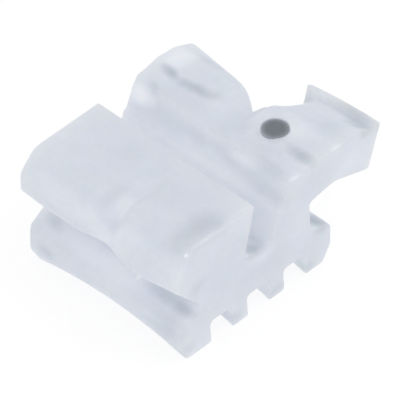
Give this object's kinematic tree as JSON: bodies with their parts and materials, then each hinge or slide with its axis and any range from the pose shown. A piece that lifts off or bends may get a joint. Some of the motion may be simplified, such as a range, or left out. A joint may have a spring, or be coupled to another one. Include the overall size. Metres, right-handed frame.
{
  "type": "orthodontic bracket",
  "caption": "Translucent ceramic tie-wing bracket with a slanted archwire slot, a power-arm hook, an inlaid marking dot and a curved base with undercut grooves.",
  "frame": {"origin": "on the ground plane below the middle of the bounding box, under the base that bonds to the tooth", "axes": "+X along the archwire slot towards the end that carries the hook, +Y across the slot towards the hooked side, +Z away from the tooth"},
  "size_m": [0.0032, 0.0044, 0.0022],
  "materials": {
    "translucent_ceramic": "fine satin, slightly translucent, bluish white",
    "marking_ink": "matt dark grey ink"
  },
  "bodies": {
    "root": {"bracket_body": "translucent_ceramic", "marking_dot": "marking_ink"}
  },
  "joints": []
}
